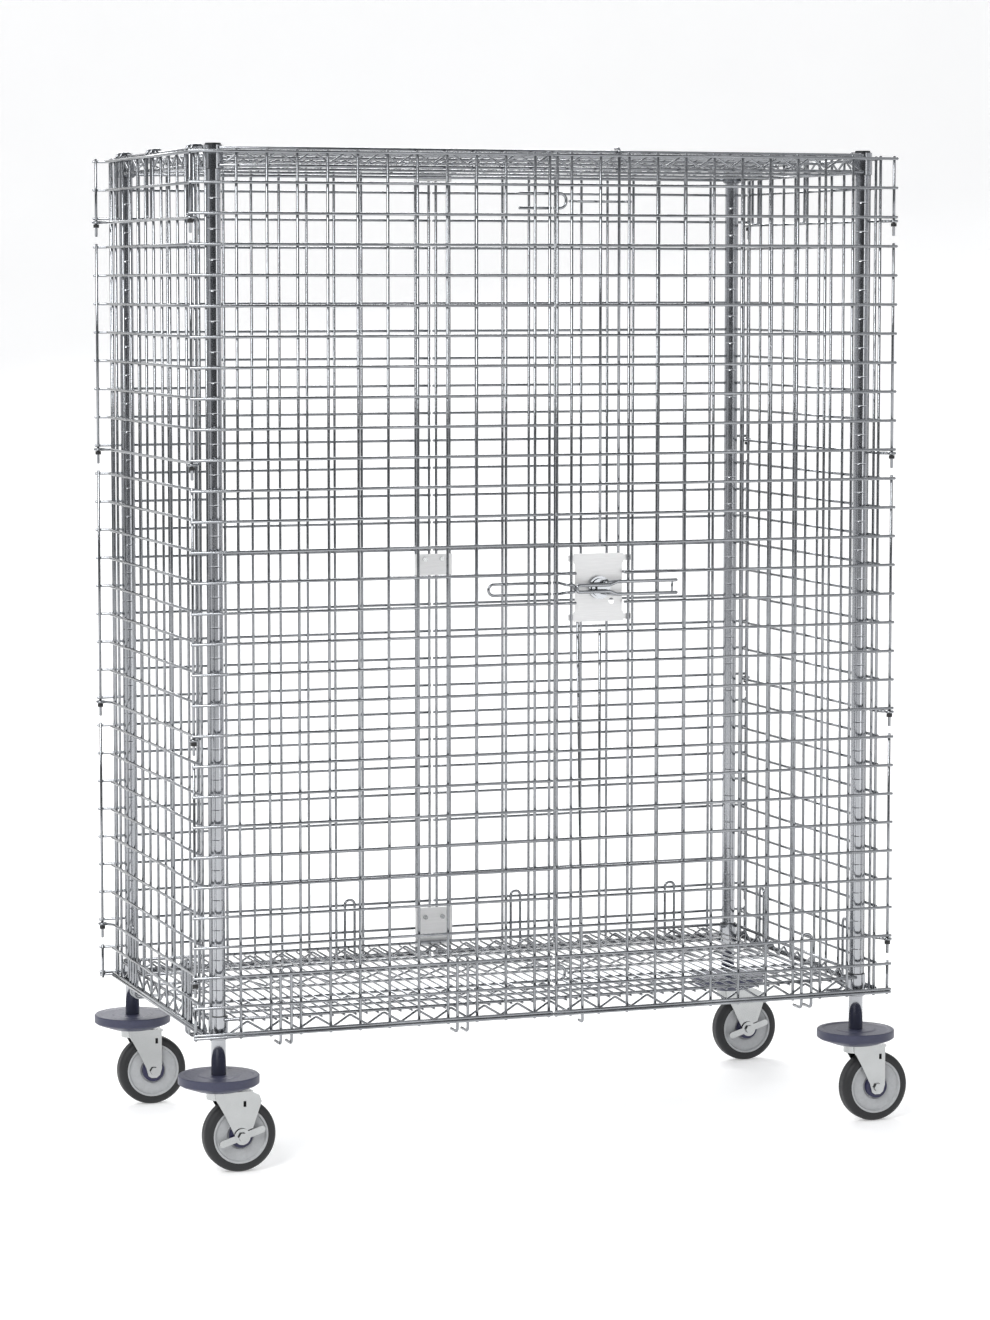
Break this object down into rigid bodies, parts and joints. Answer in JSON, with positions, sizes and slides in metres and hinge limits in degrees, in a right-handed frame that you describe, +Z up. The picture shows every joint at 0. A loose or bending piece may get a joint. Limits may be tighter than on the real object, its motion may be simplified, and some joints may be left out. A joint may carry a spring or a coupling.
{
  "type": "roll cage container",
  "caption": "Wheeled wire cage cart: swing wire doors with a locking handle, side and rear mesh panels, wire shelves top and bottom, swivel casters.",
  "frame": {"origin": "centre of the footprint on the floor, under the middle of the whole object's bounding box", "axes": "+Z up, -Y towards the doors, +X to the right seen from the doors"},
  "size_m": [1.3628, 0.7234, 1.7482],
  "materials": {
    "chrome": "polished",
    "plate_steel": "satin",
    "zinc": "bright zinc",
    "black_plastic": "moulded",
    "bumper": "soft satin",
    "tyre": "smooth rubber",
    "wheel_grey": "moulded",
    "wheel_blue": "moulded"
  },
  "bodies": {
    "cage": {"posts": "chrome", "post_caps": "black_plastic", "top_shelf_frame": "chrome", "top_shelf_trusses": "chrome", "top_shelf_deck": "chrome", "bottom_shelf_frame": "chrome", "bottom_shelf_trusses": "chrome", "bottom_shelf_deck": "chrome", "shelf_collars": "chrome", "shelf_sleeves": "black_plastic", "left_side_panel": "chrome", "right_side_panel": "chrome", "rear_left_panel": "chrome", "rear_right_panel": "chrome", "rear_join_plates": "plate_steel", "rear_plate_screws": "zinc", "hinge_eyes": "chrome", "rear_hinge_caps": "black_plastic", "panel_hooks": "chrome", "bumpers": "bumper", "caster_stems": "zinc"},
    "left_door": {"left_door_panel": "chrome", "left_door_catches": "chrome", "left_door_hasp": "chrome", "left_door_hooks": "chrome", "left_door_hinge_caps": "black_plastic"},
    "right_door": {"right_door_panel": "chrome", "latch_plate": "plate_steel", "rod_guides": "chrome", "right_door_catches": "chrome", "padlock_staple": "chrome", "right_door_hook": "chrome", "right_door_hinge_caps": "black_plastic"},
    "latch": {"latch_handle": "chrome", "latch_hub": "chrome", "latch_crank": "plate_steel"},
    "upper_rod": {"upper_rod": "chrome"},
    "lower_rod": {"lower_rod": "chrome"},
    "caster_front_left": {"fork_front_left": "zinc", "axle_bolt_front_left": "zinc"},
    "wheel_front_left": {"tyre_front_left": "tyre", "wheel_core_front_left": "wheel_grey", "wheel_centre_front_left": "wheel_blue"},
    "brake_front_left": {"brake_lever_front_left": "zinc"},
    "caster_front_right": {"fork_front_right": "zinc", "axle_bolt_front_right": "zinc"},
    "wheel_front_right": {"tyre_front_right": "tyre", "wheel_core_front_right": "wheel_grey", "wheel_centre_front_right": "wheel_blue"},
    "caster_rear_left": {"fork_rear_left": "zinc", "axle_bolt_rear_left": "zinc"},
    "wheel_rear_left": {"tyre_rear_left": "tyre", "wheel_core_rear_left": "wheel_grey", "wheel_centre_rear_left": "wheel_blue"},
    "caster_rear_right": {"fork_rear_right": "zinc", "axle_bolt_rear_right": "zinc"},
    "wheel_rear_right": {"tyre_rear_right": "tyre", "wheel_core_rear_right": "wheel_grey", "wheel_centre_rear_right": "wheel_blue"},
    "brake_rear_right": {"brake_lever_rear_right": "zinc"}
  },
  "joints": [
    {"name": "left_door_hinge", "type": "hinge", "parent": "cage", "child": "left_door", "pos_m": [-0.65965, -0.3213, 1], "axis": [0, 0, -1], "range_deg": [0, 260]},
    {"name": "right_door_hinge", "type": "hinge", "parent": "cage", "child": "right_door", "pos_m": [0.63125, -0.3213, 1], "axis": [0, 0, 1], "range_deg": [0, 260]},
    {"name": "latch_turn", "type": "hinge", "parent": "right_door", "child": "latch", "pos_m": [0.0713, -0.3213, 0.98625], "axis": [0, -1, 0], "range_deg": [0, 90]},
    {"name": "upper_rod_slide", "type": "slide", "parent": "right_door", "child": "upper_rod", "axis": [0, 0, 1], "range_m": [0, 0.0385]},
    {"name": "lower_rod_slide", "type": "slide", "parent": "right_door", "child": "lower_rod", "axis": [0.0155, 0, -0.9999], "range_m": [0, 0.0385]},
    {"name": "swivel_front_left", "type": "hinge", "parent": "cage", "child": "caster_front_left", "pos_m": [-0.6116, -0.2919, 0.138], "axis": [0, 0, 1], "continuous": true},
    {"name": "wheel_spin_front_left", "type": "hinge", "parent": "caster_front_left", "child": "wheel_front_left", "pos_m": [-0.5769, -0.2919, 0.0635], "axis": [0, 1, 0], "continuous": true},
    {"name": "brake_turn_front_left", "type": "hinge", "parent": "caster_front_left", "child": "brake_front_left", "pos_m": [-0.5769, -0.2919, 0.0635], "axis": [0, 1, 0], "range_deg": [0, 22]},
    {"name": "swivel_front_right", "type": "hinge", "parent": "cage", "child": "caster_front_right", "pos_m": [0.5832, -0.2919, 0.138], "axis": [0, 0, 1], "continuous": true},
    {"name": "wheel_spin_front_right", "type": "hinge", "parent": "caster_front_right", "child": "wheel_front_right", "pos_m": [0.6179, -0.2919, 0.0635], "axis": [0, 1, 0], "continuous": true},
    {"name": "swivel_rear_left", "type": "hinge", "parent": "cage", "child": "caster_rear_left", "pos_m": [-0.6116, 0.2919, 0.138], "axis": [0, 0, 1], "continuous": true},
    {"name": "wheel_spin_rear_left", "type": "hinge", "parent": "caster_rear_left", "child": "wheel_rear_left", "pos_m": [-0.5769, 0.2919, 0.0635], "axis": [0, 1, 0], "continuous": true},
    {"name": "swivel_rear_right", "type": "hinge", "parent": "cage", "child": "caster_rear_right", "pos_m": [0.5832, 0.2919, 0.138], "axis": [0, 0, 1], "continuous": true},
    {"name": "wheel_spin_rear_right", "type": "hinge", "parent": "caster_rear_right", "child": "wheel_rear_right", "pos_m": [0.6179, 0.2919, 0.0635], "axis": [0, 1, 0], "continuous": true},
    {"name": "brake_turn_rear_right", "type": "hinge", "parent": "caster_rear_right", "child": "brake_rear_right", "pos_m": [0.6179, 0.2919, 0.0635], "axis": [0, 1, 0], "range_deg": [0, 22]}
  ],
  "couplings": [
    {"joint": "upper_rod_slide", "follows": "latch_turn", "m_per_rad": 0.0245},
    {"joint": "lower_rod_slide", "follows": "latch_turn", "m_per_rad": 0.0245}
  ]
}
